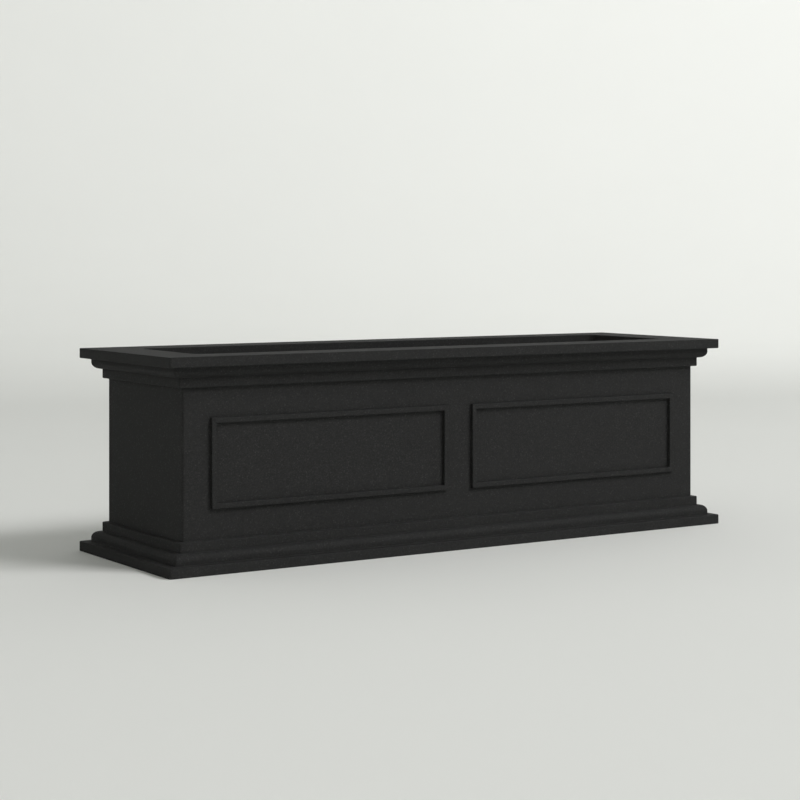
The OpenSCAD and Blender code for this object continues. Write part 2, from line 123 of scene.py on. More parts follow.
def loft(path, closed):
    """Skin a section of Corners round a rectangle. closed joins its ends, and otherwise both are capped."""
    bm = bmesh.new()
    place = bm.verts.layers.int.new("place")
    ring = bmesh.ops.create_circle(bm, segments=4 * (CORNER_STEPS + 1), radius=1)["verts"]
    for index, vert in enumerate(ring):
        vert[place] = index
    flat = [Vector((c.half_y, c.z)) for c in path]
    edges = first = bm.edges[:]
    started = False
    for i, c in enumerate(path):
        inner = closed or 0 < i < len(path) - 1
        arc = corner_arc(flat[i - 1], flat[i], flat[(i + 1) % len(path)], c.soft if inner else 0)
        for across, up in arc:
            if started:
                made = bmesh.ops.extrude_edge_only(bm, edges=edges)["geom"]
                ring = [g for g in made if isinstance(g, bmesh.types.BMVert)]
                fresh = set(ring)
                edges = [g for g in made if isinstance(g, bmesh.types.BMEdge) and fresh.issuperset(g.verts)]
            started = True
            for vert in ring:
                x, y = corner_point(vert[place], c.half_x + across, c.half_y + across, c.radius)
                vert.co = (x, y, c.z + up)
    if closed:
        bmesh.ops.bridge_loops(bm, edges=first + edges)
    else:
        bmesh.ops.edgeloop_fill(bm, edges=first)
        bmesh.ops.edgeloop_fill(bm, edges=edges)
    bmesh.ops.recalc_face_normals(bm, faces=bm.faces)
    return bm


def turned(path, centre, segments=64, closed=True, along=(0, 0, 1)):
    """Spin a section of (radius, height, soft) corners round an axis. An open one ends on the axis."""
    flat = [Vector((radius, height)) for radius, height, _ in path]
    bm = bmesh.new()
    verts = []
    for i, (radius, height, soft) in enumerate(path):
        inner = closed or 0 < i < len(path) - 1
        for across, up in corner_arc(flat[i - 1], flat[i], flat[(i + 1) % len(path)], soft if inner else 0):
            verts.append(bm.verts.new((radius + across, 0, height + up)))
    for a, b in zip(verts, verts[1:] + verts[:1]):
        if closed or b is not verts[0]:
            bm.edges.new((a, b))
    bmesh.ops.spin(
        bm, geom=bm.verts[:] + bm.edges[:], cent=(0, 0, 0), axis=(0, 0, 1), angle=2 * pi, steps=segments,
        use_merge=True,
    )
    bmesh.ops.remove_doubles(bm, verts=bm.verts, dist=0.01 * MM)
    bmesh.ops.recalc_face_normals(bm, faces=bm.faces)
    bmesh.ops.rotate(
        bm, verts=bm.verts, cent=(0, 0, 0), matrix=Vector((0, 0, 1)).rotation_difference(along).to_matrix()
    )
    bmesh.ops.translate(bm, verts=bm.verts, vec=centre)
    return bm


def block(low, high, soft=0.0):
    """A box between two corners, with rounded edges if soft is given."""
    bm = bmesh.new()
    verts = bmesh.ops.create_cube(bm, size=1)["verts"]
    low, high = Vector(low), Vector(high)
    bmesh.ops.scale(bm, verts=verts, vec=high - low)
    bmesh.ops.translate(bm, verts=verts, vec=(low + high) / 2)
    if soft:
        round_edges(bm, bm.edges[:], soft)
    return bm


def drum(radius, z0, z1, centre=(0, 0), segments=48):
    """A plain upright cylinder."""
    bm = bmesh.new()
    bmesh.ops.create_cone(
        bm, cap_ends=True, segments=segments, radius1=radius, radius2=radius, depth=z1 - z0,
        matrix=Matrix.Translation((*centre, (z0 + z1) / 2)),
    )
    return bm


def round_edges(bm, edges, width, segments=3):
    bmesh.ops.bevel(
        bm, geom=edges, offset=width, offset_type="OFFSET", segments=segments, profile=0.5, affect="EDGES",
        clamp_overlap=True, material=-1,
    )


def joined(*meshes):
    """One bmesh that holds several, each a closed shell."""
    whole = bmesh.new()
    for bm in meshes:
        loose = bpy.data.meshes.new("loose")
        bm.to_mesh(loose)
        bm.free()
        whole.from_mesh(loose)
        bpy.data.meshes.remove(loose)
    return whole


def carved(bm, tool, operation="DIFFERENCE"):
    """bm with the tool's shape taken away from it, or added to it."""
    shapes = []
    for shape in (bm, tool):
        mesh = bpy.data.meshes.new("shape")
        shape.to_mesh(mesh)
        shape.free()
        shapes.append(bpy.data.objects.new("shape", mesh))
        bpy.context.scene.collection.objects.link(shapes[-1])
    cut = shapes[0].modifiers.new("cut", "BOOLEAN")
    cut.object, cut.operation, cut.solver = shapes[1], operation, "EXACT"
    result = bmesh.new()
    result.from_object(shapes[0], bpy.context.evaluated_depsgraph_get())
    for shape in shapes:
        mesh = shape.data
        bpy.data.objects.remove(shape)
        bpy.data.meshes.remove(mesh)
    return result


def stand_in(name, bm, *nodes, weighted=True):
    """Make a bmesh the piece that stands for those CAD nodes, with their body, slot and finish."""
    mesh = bpy.data.meshes.new(name)
    bm.to_mesh(mesh)
    bm.free()
    mesh.shade_smooth()
    mesh.set_sharp_from_angle(angle=SMOOTH)
    mesh.materials.append(FINISH[SLOT[nodes[0]]])
    piece = bpy.data.objects.new(name, mesh)
    bpy.context.scene.collection.objects.link(piece)
    if weighted:
        piece.modifiers.new("even_faces", "WEIGHTED_NORMAL").keep_sharp = True
    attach(piece, BODY[nodes[0]])
    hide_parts(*nodes)
    return piece


def softened(name, node, width):
    """A piece with a CAD node's own shape and its sharp edges rounded."""
    bm = bmesh.new()
    bm.from_mesh(frame["nodes"][node].data)
    for layer in (bm.loops.layers.uv, bm.loops.layers.float_vector):
        for old in layer.values():
            layer.remove(old)
    bmesh.ops.remove_doubles(bm, verts=bm.verts, dist=0.001 * MM)
    bmesh.ops.dissolve_limit(bm, angle_limit=radians(1), verts=bm.verts, edges=bm.edges)
    sharp = [e for e in bm.edges if e.is_manifold and e.calc_face_angle() > SMOOTH]
    round_edges(bm, sharp, width, segments=2)
    return stand_in(name, bm, node)


def middle(node):
    low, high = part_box(node)
    return (low + high) / 2


# ---- Finishes ----


def add(tree, kind, settings=(), **inputs):
    """A shader node, with its settings and its inputs, which are values or other nodes' sockets."""
    made = tree.nodes.new("ShaderNode" + kind)
    for name, value in dict(settings).items():
        setattr(made, name, value)
    for name, value in inputs.items():
        socket = made.inputs[name.replace("_", " ")]
        if isinstance(value, bpy.types.NodeSocket):
            tree.links.new(value, socket)
        else:
            socket.default_value = value
    return made


def new_finish(name):
    """A material with only its output, and the place on the piece that its patterns read."""
    material = bpy.data.materials.new(name)
    material.use_nodes = True
    tree = material.node_tree
    tree.nodes.clear()
    return material, tree, add(tree, "TexCoord").outputs["Object"]


def close(tree, shader):
    add(tree, "OutputMaterial", Surface=shader.outputs[0])


def noise(tree, place, scale, detail=2.0, rough=0.5):
    return add(tree, "TexNoise", Vector=place, Scale=scale, Detail=detail, Roughness=rough).outputs["Fac"]


def spread(tree, value, low, high, to_low, to_high):
    """Map a value from one range to another, held at the ends."""
    return add(
        tree, "MapRange", {"clamp": True}, Value=value,
        From_Min=low, From_Max=high, To_Min=to_low, To_Max=to_high,
    ).outputs["Result"]


def mixed(tree, factor, a, b):
    made = add(tree, "Mix", {"data_type": "RGBA"})
    for socket, value in ((made.inputs["Factor"], factor), (made.inputs[6], a), (made.inputs[7], b)):
        if isinstance(value, bpy.types.NodeSocket):
            tree.links.new(value, socket)
        else:
            socket.default_value = value
    return made.outputs[2]


def grey(level, warm=0.0):
    return (level * (1 + warm), level, level * (1 - warm), 1)


def times(tree, a, b):
    made = add(tree, "Math", {"operation": "MULTIPLY"})
    tree.links.new(a, made.inputs[0])
    if isinstance(b, bpy.types.NodeSocket):
        tree.links.new(b, made.inputs[1])
    else:
        made.inputs[1].default_value = b
    return made.outputs[0]


def speck_mask(tree, place, scale, share):
    """Soft round specks in that share of the cells of a given scale."""
    cells = add(tree, "TexVoronoi", {"feature": "F1"}, Vector=place, Scale=scale, Randomness=1.0)
    pick = add(tree, "SeparateColor", Color=cells.outputs["Color"]).outputs["Red"]
    chosen = spread(tree, pick, 1 - share, 1 - share * 0.4, 0.0, 1.0)
    dot = spread(tree, cells.outputs["Distance"], 0.15, 0.55, 1.0, 0.0)
    return times(tree, chosen, dot)


def rotomoulded():
    """Matt charcoal polyethylene: powder grain, fine pale specks and a slight orange peel."""
    material, tree, place = new_finish("speckled_charcoal")
    cloud = noise(tree, place, 5, 3)
    grain = noise(tree, place, 420, 3, 0.65)
    base = mixed(tree, spread(tree, cloud, 0.3, 0.7, 0, 1), grey(0.0162), grey(0.0184))
    grained = mixed(tree, spread(tree, grain, 0.35, 0.72, 0, 0.9), base, grey(0.0275))
    fine = mixed(tree, speck_mask(tree, place, 640, 0.55), grained, grey(0.035))
    colour = mixed(tree, speck_mask(tree, place, 430, 0.14), fine, grey(0.041))
    peel = noise(tree, place, 160, 2)
    height = add(tree, "Math", {"operation": "ADD"})
    tree.links.new(times(tree, peel, 0.7), height.inputs[0])
    tree.links.new(times(tree, grain, 0.5), height.inputs[1])
    bump = add(tree, "Bump", Strength=0.35, Distance=0.2 * MM, Height=height.outputs[0])
    shader = add(
        tree, "BsdfPrincipled", Base_Color=colour, Roughness=spread(tree, grain, 0.3, 0.7, 0.7, 0.82),
        Specular_IOR_Level=0.12, Normal=bump.outputs[0],
    )
    close(tree, shader)
    return material


def moulded(name, dark, pale, roughness, grain_scale=900, grain_depth=0.06, flow=0.0, specular=0.4):
    """Injection-moulded plastic: fine spark-eroded grain, slow tone changes and, with flow, faint streaks."""
    material, tree, place = new_finish(name)
    cloud = noise(tree, place, 9, 3)
    streak = add(tree, "Mapping", Vector=place, Scale=(3, 3, 60)).outputs[0]
    lines = noise(tree, streak, 4, 2)
    grain = noise(tree, place, grain_scale, 2, 0.6)
    base = mixed(tree, spread(tree, cloud, 0.3, 0.7, 0, 1), dark, pale)
    streaked = mixed(tree, spread(tree, lines, 0.45, 0.75, 0, flow), base, pale)
    colour = mixed(tree, spread(tree, grain, 0.5, 0.8, 0, 0.25), streaked, pale)
    bump = add(tree, "Bump", Strength=0.4, Distance=grain_depth * MM, Height=grain)
    rough = spread(tree, grain, 0.3, 0.7, roughness - 0.05, roughness + 0.07)
    close(tree, add(
        tree, "BsdfPrincipled", Base_Color=colour, Roughness=rough, Specular_IOR_Level=specular,
        Normal=bump.outputs[0],
    ))
    return material


def rubber():
    """Matt black rubber with a faint bloom."""
    material, tree, place = new_finish("matt_rubber")
    bloom = noise(tree, place, 60, 4)
    grain = noise(tree, place, 700, 2)
    colour = mixed(tree, spread(tree, bloom, 0.4, 0.8, 0, 1), grey(0.012), grey(0.032, 0.02))
    bump = add(tree, "Bump", Strength=0.3, Distance=0.08 * MM, Height=grain)
    close(tree, add(
        tree, "BsdfPrincipled", Base_Color=colour, Roughness=spread(tree, bloom, 0.3, 0.7, 0.7, 0.85),
        Specular_IOR_Level=0.3, Normal=bump.outputs[0],
    ))
    return material


def metal(name, dark, pale, roughness, stretch):
    """Drawn or turned metal: fine lines along the way it was worked, over a slight change of tone."""
    material, tree, place = new_finish(name)
    along = add(tree, "Mapping", Vector=place, Scale=stretch).outputs[0]
    lines = noise(tree, along, 40, 3, 0.6)
    cloud = noise(tree, place, 30, 3)
    colour = mixed(tree, spread(tree, lines, 0.3, 0.7, 0, 1), dark, pale)
    bump = add(tree, "Bump", Strength=0.15, Distance=0.03 * MM, Height=lines)
    rough = spread(tree, cloud, 0.3, 0.7, roughness - 0.06, roughness + 0.08)
    close(tree, add(
        tree, "BsdfPrincipled", Base_Color=colour, Metallic=1.0, Roughness=rough, Normal=bump.outputs[0]
    ))
    return material


def clear_plastic():
    """Clear tube plastic with faint rubbing and a cool tint."""
    material, tree, place = new_finish("clear_tube")
    rub = noise(tree, place, 180, 4, 0.7)
    colour = mixed(tree, spread(tree, rub, 0.3, 0.7, 0, 1), (0.86, 0.93, 0.92, 1), (0.93, 0.97, 0.96, 1))
    close(tree, add(
        tree, "BsdfPrincipled", Base_Color=colour, Roughness=spread(tree, rub, 0.4, 0.8, 0.04, 0.16),
        Transmission_Weight=0.92, IOR=1.47,
    ))
    return material


def foam():
    """Closed-cell foam: small domed cells over off-white, with painted shade darkening the hollows between
    the domes.
    """
    material, tree, place = new_finish("closed_cell_foam")
    cells = add(tree, "TexVoronoi", {"feature": "F1"}, Vector=place, Scale=900.0).outputs["Distance"]
    # painted shade: the colour darkens from each cell's middle to its edge, in step with the bumped domes
    colour = mixed(tree, spread(tree, cells, 0, 0.6, 0, 1), (0.78, 0.76, 0.7, 1), (0.58, 0.56, 0.5, 1))
    bump = add(tree, "Bump", {"invert": True}, Strength=0.5, Distance=0.3 * MM, Height=cells)
    close(tree, add(
        tree, "BsdfPrincipled", Base_Color=colour, Roughness=spread(
            tree, cells, 0, 0.6, 0.75, 0.9
        ), Normal=bump.outputs[0]
    ))
    return material


FINISH = {
    "casing_plastic": rotomoulded(),
    "tank_plastic": moulded("tank_black", grey(0.018), grey(0.03), 0.5, 500, 0.1, 0.5),
    "liner_plastic": moulded("liner_grey", grey(0.026, 0.01), grey(0.04, 0.01), 0.46, 800, 0.07, 0.35),
    "fitting_plastic": moulded("fitting_black", grey(0.012), grey(0.022), 0.42, 1300, 0.05),
    "black_rubber": rubber(),
    "stainless_steel": metal("drawn_steel", grey(0.42), grey(0.66), 0.3, (12, 1, 12)),
    "brass": metal("turned_brass", (0.5, 0.34, 0.12, 1), (0.75, 0.56, 0.25, 1), 0.35, (1, 1, 14)),
    "clear_plastic": clear_plastic(),
    "float_foam": foam(),
    "signal_red": moulded(
        "signal_red", (0.42, 0.012, 0.01, 1), (0.56, 0.03, 0.02, 1), 0.28, 600, 0.02, 0, 0.5
    ),
    "drain_plug_plastic": moulded("plug_red", (0.26, 0.035, 0.022, 1), (0.36, 0.06, 0.04, 1), 0.45),
}


# ---- Casing ----


def course(step, z, soft):
    """A corner of the casing's mouldings, set back from the lip by that step at the front."""
    return Corner(HALF_X - step * END_RATIO, HALF_Y - step, z, soft, CORNER_R)


def well(step, z, soft, radius=WELL_R):
    """A corner of the well, set back from the rim's inner edge."""
    return Corner(HALF_X - RIM_END - step, HALF_Y - RIM_FRONT - step, z, soft, radius)


def casing_section():
    """The casing's wall, up the outside, down into the well and back down its hollow inside."""
    up = [
        (0, 0, CRISP), (0, LIP_H, WORN),
        (ROUND_STEP, LIP_H, INSIDE), (ROUND_STEP, LIP_H + ROUND_H, ROUND_R),
        (SQUARE_STEP, LIP_H + ROUND_H, CRISP), (SQUARE_STEP, WALL_BOTTOM, WORN),
        (WALL_STEP, WALL_BOTTOM, INSIDE),
    ]
    outside = [course(step, z, soft) for step, z, soft in up]
    outside += [course(step, HEIGHT - z, soft) for step, z, soft in reversed(up)]
    rim = [
        well(0, HEIGHT, WORN), well(0, LEDGE_Z, INSIDE), well(LEDGE_W, LEDGE_Z, INSIDE),
        well(LEDGE_W, LEDGE_Z - SKIRT_H, CRISP), well(LEDGE_W - WALL, LEDGE_Z - SKIRT_H, CRISP),
        well(
            LEDGE_W - WALL, LEDGE_Z - WALL, 0
        ), well(-WALL, LEDGE_Z - WALL, 0), well(-WALL, HEIGHT - WALL, 0),
    ]
    soft_step = ROUND_STEP + WALL + 1 * MM
    soft_z = LIP_H + ROUND_H - WALL - 1 * MM
    down = [
        (WALL, PLATE_TOP), (soft_step, PLATE_TOP), (soft_step, soft_z), (SQUARE_STEP + WALL, soft_z),
        (SQUARE_STEP + WALL, WALL_BOTTOM - WALL), (WALL_STEP + WALL, WALL_BOTTOM - WALL),
    ]
    hollow = [course(WALL, HEIGHT - WALL, 0)]
    hollow += [course(step, HEIGHT - z, 0) for step, z in down]
    hollow += [course(step, z, 0) for step, z in reversed(down)]
    return outside + rim + hollow + [course(WALL, 0, CRISP)]


def raise_frames(bm):
    """Two rectangular beads on the front wall and two on the back."""
    span = (PANEL_GAP / 2, WALL_X - PANEL_MARGIN)
    rows = (WALL_BOTTOM + PANEL_MARGIN, WALL_TOP - PANEL_MARGIN)
    cuts = [((side * x, 0, 0), (1, 0, 0)) for x in span for side in (-1, 1)]
    cuts += [((0, 0, z), (0, 0, 1)) for z in rows]
    for where, across in cuts:
        wall = [f for f in bm.faces if is_wall(f)]
        edges = {e for f in wall for e in f.edges}
        verts = {v for f in wall for v in f.verts}
        bmesh.ops.bisect_plane(bm, geom=[*verts, *edges, *wall], plane_co=where, plane_no=across)
    panels = [
        f for f in bm.faces
        if is_wall(f) and span[0] < abs(f.calc_center_median().x) < span[1]
        and rows[0] < f.calc_center_median().z < rows[1]
    ]
    beads = bmesh.ops.inset_individual(
        bm, faces=panels, thickness=BEAD_W, depth=0, use_even_offset=True
    )["faces"]
    raised = bmesh.ops.extrude_face_region(bm, geom=beads)["geom"]
    lifted = [g for g in raised if isinstance(g, bmesh.types.BMVert)]
    for vert in lifted:
        vert.co.y += BEAD_H if vert.co.y > 0 else -BEAD_H
    top = set(lifted)
    stale = [f for f in beads if f.is_valid and not top.issuperset(f.verts)]
    bmesh.ops.delete(bm, geom=stale, context="FACES_ONLY")
    bm.normal_update()
    edges = [
        e for e in bm.edges if top.issuperset(e.verts) and e.is_manifold and e.calc_face_angle() > SMOOTH
    ]
    round_edges(bm, edges, 1.0 * MM)


def is_wall(face):
    """Is this face part of the upright wall between the mouldings, at the front or the back?"""
    centre = face.calc_center_median()
    return abs(abs(centre.y) - WALL_Y) < 0.1 * MM and WALL_BOTTOM < centre.z < WALL_TOP


def casing():
    bm = loft(casing_section(), closed=True)
    raise_frames(bm)
    key = KEY_HOLE / 2
    hole = block((-key, WALL_Y - WALL - 2 * MM, OVERFLOW_Z - key), (key, WALL_Y + 2 * MM, OVERFLOW_Z + key))
    bm = carved(bm, hole)
    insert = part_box("threaded_inserts")[1]
    bosses = []
    for i in range(-2, 3):
        for side in (-1, 1):
            x, y = i * (insert.x - 4 * MM) / 2, side * (insert.y - 4 * MM)
            section = [
                (BOSS_R, PLATE_TOP, 0), (BOSS_R, BOSS_TOP, 0), (4 * MM, BOSS_TOP, 0), (4 * MM, PLATE_TOP, 0)
            ]
            bosses.append(turned(section, (x, y, 0), 24))
    stand_in("moulded_casing", joined(bm, *bosses), "outer_casing")


# ---- Tank, overflow and drain ----


def tank():
    low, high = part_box("reservoir_tank")
    wall, radius = 3 * MM, 20 * MM
    inner = radius - wall
    bm = loft(
        [
            Corner(high.x * 0.3, high.y * 0.3, low.z, 0, radius * 0.3),
            Corner(high.x, high.y, low.z, 1.5 * MM, radius), Corner(high.x, high.y, high.z, CRISP, radius),
            Corner(high.x - wall, high.y - wall, high.z, CRISP, inner),
            Corner(high.x - wall, high.y - wall, low.z + wall, 3 * MM, inner),
            Corner(high.x * 0.3, high.y * 0.3, low.z + wall, 0, inner * 0.3),
        ],
        closed=False,
    )
    bm = carved(bm, drum(17 * MM, low.z + 1 * MM, low.z + 14 * MM), "UNION")
    key = KEY_HOLE / 2
    hole = block((-key, high.y - wall - 2 * MM, OVERFLOW_Z - key), (key, high.y + 2 * MM, OVERFLOW_Z + key))
    bm = carved(bm, joined(drum(12 * MM, low.z - 1 * MM, low.z + 20 * MM), hole))
    stand_in("water_tank", bm, "reservoir_tank")


def overflow():
    low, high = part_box("overflow_spout")
    centre = (0, 0, OVERFLOW_Z)
    flange = WALL_Y + FLANGE_T
    section = [
        (BORE_R, low.y, CRISP), (STEM_R, low.y, CRISP), (STEM_R, WALL_Y, 0), (FLANGE_R, WALL_Y, CRISP),
        (FLANGE_R, flange, CRISP), (STEM_R, flange, CRISP), (STEM_R, high.y - 7 * MM, 0),
        (STEM_R + 1 * MM, high.y - 7 * MM, 0.3 * MM), (STEM_R - 0.5 * MM, high.y, CRISP),
        (BORE_R, high.y, CRISP),
    ]
    spout = turned(section, centre, 64, along=(0, 1, 0))
    tank_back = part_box("reservoir_tank")[1].y
    neck = block(
        (-STEM_R, tank_back - 3 * MM, OVERFLOW_Z - STEM_R), (STEM_R, WALL_Y + 1 * MM, OVERFLOW_Z + STEM_R),
        0.4 * MM
    )
    bore = turned([(0, tank_back - 5 * MM, 0), (BORE_R, tank_back - 5 * MM, 0), (BORE_R, WALL_Y + 3 * MM, 0),
                   (0, WALL_Y + 3 * MM, 0)], centre, 64, closed=False, along=(0, 1, 0))
    stand_in("overflow_spout_barbed", joined(spout, carved(neck, bore)), "overflow_spout")
    nut_low, nut_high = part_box("overflow_nut")
    nut = bmesh.new()
    bmesh.ops.create_cone(
        nut, cap_ends=True, segments=6, radius1=13.8 * MM, radius2=13.8 * MM, depth=nut_high.y - nut_low.y
    )
    round_edges(nut, nut.edges[:], 0.7 * MM)
    bmesh.ops.rotate(nut, verts=nut.verts, cent=(0, 0, 0), matrix=Matrix.Rotation(radians(-90), 3, "X"))
    bmesh.ops.translate(nut, verts=nut.verts, vec=(0, (nut_low.y + nut_high.y) / 2, OVERFLOW_Z))
    thread = turned([
        (0, nut_low.y - 1 * MM, 0), (STEM_R, nut_low.y - 1 * MM, 0),
        (STEM_R, nut_high.y + 1 * MM, 0), (0, nut_high.y + 1 * MM, 0),
    ], centre, 48, closed=False, along=(0, 1, 0))
    stand_in("overflow_nut_moulded", carved(nut, thread), "overflow_nut")
    low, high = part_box("overflow_gasket")
    seal = [
        (11 * MM, low.y, 0.3 * MM), (15 * MM, low.y, 0.5 * MM), (15 * MM, high.y, 0.5 * MM),
        (11 * MM, high.y, 0.3 * MM),
    ]
    stand_in("overflow_seal", turned(seal, centre, 64, along=(0, 1, 0)), "overflow_gasket")


def drain():
    low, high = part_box("drain_plug")
    flange_z = PLATE_TOP - 3.2 * MM
    stem, groove, groove_z = 11.92 * MM, 9.1 * MM, PLATE_TOP + 5 * MM
    section = [
        (0, flange_z, 0), (20 * MM, flange_z, CRISP), (20 * MM, flange_z + 3 * MM, CRISP),
        (stem, flange_z + 3 * MM, CRISP),
        (stem, groove_z - 2 * MM, 0.2 * MM), (groove, groove_z - 2 * MM, 0.4 * MM),
        (groove, groove_z + 2 * MM, 0.4 * MM),
        (stem, groove_z + 2 * MM, 0.2 * MM), (stem, high.z, WORN), (8 * MM, high.z, CRISP),
        (7 * MM, high.z - 2 * MM, CRISP),
        (0, high.z - 2 * MM, 0),
    ]
    bar = block((-15 * MM, -3 * MM, low.z), (15 * MM, 3 * MM, flange_z + 1 * MM), 0.8 * MM)
    stand_in("drain_plug_turned", joined(turned(section, (0, 0, 0), 72, closed=False), bar), "drain_plug")
    ring = bmesh.new()
    bead = 1.4 * MM
    made = bmesh.ops.create_circle(ring, segments=16, radius=bead, matrix=Matrix.Translation(
        (12 * MM - 0.05 * MM - bead, 0, groove_z)) @ Matrix.Rotation(radians(90), 4, "X"))
    bmesh.ops.spin(
        ring, geom=made["verts"] + ring.edges[:], cent=(0, 0, 0), axis=(0, 0, 1), angle=2 * pi, steps=72,
        use_merge=True,
    )
    bmesh.ops.recalc_face_normals(ring, faces=ring.faces)
    stand_in("drain_seal", ring, "drain_o_ring")


# ---- Planting liner and wicking cups ----

LINER_LOW, LINER_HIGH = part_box("planting_liner")
FLANGE_T_LINER, LINER_WALL, RIB_H = 3 * MM, 3 * MM, 6 * MM
LINER_OUT_X, LINER_OUT_Y = LINER_HIGH.x - 9 * MM, LINER_HIGH.y - 9 * MM
LINER_IN_X, LINER_IN_Y = LINER_OUT_X - LINER_WALL, LINER_OUT_Y - LINER_WALL
FLOOR_Z = LINER_LOW.z + RIB_H
FLOOR_TOP = FLOOR_Z + LINER_WALL
CUPS = [middle(f"wick_cup_{i}") for i in range(1, 5)]
CUP_R = 35 * MM
PIVOT_X = LINER_IN_X - 54 * MM
PIVOT_Z = middle("left_handle_grip").z


def slot_cutter(x, y, length, width=4 * MM):
    """A slot with round ends, long side along Y, through the liner's floor."""
    bm = drum(width / 2, FLOOR_Z - 2 * MM, FLOOR_TOP + 2 * MM, (0, 0), 24)
    for vert in bm.verts:
        vert.co.y += length / 2 if vert.co.y > 0 else -length / 2
    bmesh.ops.translate(bm, verts=bm.verts, vec=(x, y, 0))
    return bm


def liner():
    rim_z = LINER_HIGH.z
    bm = loft(
        [
            Corner(LINER_OUT_X * 0.5, LINER_OUT_Y * 0.5, FLOOR_Z, 0, 4 * MM),
            Corner(LINER_OUT_X, LINER_OUT_Y, FLOOR_Z, 2 * MM, 10 * MM),
            Corner(LINER_OUT_X, LINER_OUT_Y, rim_z - FLANGE_T_LINER, INSIDE, 10 * MM),
            Corner(LINER_HIGH.x, LINER_HIGH.y, rim_z - FLANGE_T_LINER, CRISP, 11 * MM),
            Corner(LINER_HIGH.x, LINER_HIGH.y, rim_z, CRISP, 11 * MM),
            Corner(LINER_IN_X, LINER_IN_Y, rim_z, WORN, 7 * MM),
            Corner(LINER_IN_X, LINER_IN_Y, FLOOR_TOP, 2.5 * MM, 7 * MM),
            Corner(LINER_IN_X * 0.5, LINER_IN_Y * 0.5, FLOOR_TOP, 0, 4 * MM),
        ],
        closed=False,
    )
    fill, gauge = middle("fill_tube"), middle("gauge_tube")
    holes = [drum(CUP_R + 0.3 * MM, FLOOR_Z - 2 * MM, FLOOR_TOP + 2 * MM, (cup.x, 0), 96) for cup in CUPS]
    holes += [drum(23 * MM, FLOOR_Z - 2 * MM, FLOOR_TOP + 2 * MM, (fill.x, fill.y), 72)]
    holes += [drum(15 * MM, FLOOR_Z - 2 * MM, FLOOR_TOP + 2 * MM, (gauge.x, gauge.y), 72)]
    for across in (-15 * MM, 0, 15 * MM):
        holes += [slot_cutter(x + across, 0, 90 * MM) for x in (-150 * MM, 0, 150 * MM)]
        holes += [slot_cutter(x + across, -30 * MM, 50 * MM) for x in (gauge.x, fill.x)]
    bm = carved(bm, joined(*holes))
    parts = [bm]
    peg_top = PIVOT_Z - 3.1 * MM
    for end in (-1, 1):
        for side in (-1, 1):
            x, y = end * PIVOT_X, side * (LINER_IN_Y - 3 * MM + 0.25 * MM)
            lug = block(
                (x - 8 * MM, y - 3.25 * MM, PIVOT_Z - 10 * MM), (x + 8 * MM, y + 3.25 * MM, PIVOT_Z + 8 * MM),
                1.2 * MM,
            )
            hole = turned([
                (0, -5 * MM, 0), (3.08 * MM, -5 * MM, 0), (3.08 * MM, 2.5 * MM, 0), (0, 2.5 * MM, 0),
            ], (x, y, PIVOT_Z), 32, closed=False, along=(0, side, 0))
            parts.append(carved(lug, hole))
            x, y = end * (LINER_IN_X - 6 * MM), side * 47 * MM
            parts.append(
                block(
                    (x - 7 * MM, y - 2.5 * MM, peg_top - 5 * MM), (x + 7 * MM, y + 2.5 * MM, peg_top), CRISP
                ),
            )
    for side in (-1, 1):
        y = side * 45 * MM
        parts.append(
            block(
                (-255 * MM, y - 1.5 * MM, FLOOR_Z - RIB_H), (255 * MM, y + 1.5 * MM, FLOOR_Z + 0.5 * MM),
                0.5 * MM,
            ),
        )
    stand_in("lift_out_liner", joined(*parts), "planting_liner")


def wick_cup(number):
    """A thin-walled cup with twelve upright slots, holes in its floor and a flange that sits on the liner."""
    node = f"wick_cup_{number}"
    low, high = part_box(node)
    centre = middle(node)
    wall = 2.5 * MM
    flange_r = (high.x - low.x) / 2
    body = turned(
        [
            (0, low.z, 0), (CUP_R, low.z, 2 * MM), (CUP_R, high.z - 2 * MM, 0.5 * MM),
            (flange_r, high.z - 2 * MM, CRISP), (flange_r, high.z, CRISP), (CUP_R - wall, high.z, CRISP),
            (CUP_R - wall, low.z + wall, 2 * MM), (0, low.z + wall, 0),
        ],
        (0, 0, 0), 120, closed=False,
    )
    slot_z, slot_h, slot_w = low.z + 12 * MM, 52 * MM, 4 * MM
    tools = []
    for k in range(12):
        tool = drum(slot_w / 2, -4 * MM, 4 * MM, (0, 0), 20)
        for vert in tool.verts:
            vert.co.y += (slot_h - slot_w) / 2 if vert.co.y > 0 else -(slot_h - slot_w) / 2
        stand = Matrix.Rotation(radians(30 * k), 4, "Z") @ Matrix.Translation(
            (CUP_R - wall / 2, 0, slot_z + slot_h / 2)
        )
        stand = stand @ Matrix.Rotation(radians(90), 4, "Z") @ Matrix.Rotation(radians(90), 4, "X")
        bmesh.ops.transform(tool, matrix=stand, verts=tool.verts)
        tools.append(tool)
    tools.append(drum(3 * MM, low.z - 1 * MM, low.z + 2 * wall, (0, 0), 24))
    for k in range(6):
        angle = radians(60 * k)
        spot = (18 * MM * cos(angle), 18 * MM * sin(angle))
        tools.append(drum(3 * MM, low.z - 1 * MM, low.z + 2 * wall, spot, 24))
    body = carved(body, joined(*tools))
    bmesh.ops.translate(body, verts=body.verts, vec=(centre.x, centre.y, 0))
    stand_in(f"slotted_cup_{number}", body, node)


# ---- Fill tube, collar and cap ----

FILL = middle("fill_tube")
FILL_R = 20 * MM
COLLAR_R = 23 * MM
HINGE_X, HINGE_Z = FILL.x - COLLAR_R - 4 * MM, LEDGE_Z - 2 * MM
KNUCKLE_R, KNUCKLE_W, EAR_W = 3.2 * MM, 9.4 * MM, 3.5 * MM


def tube(section, centre, name, node, segments=72):
    stand_in(name, turned(section, centre, segments), node)


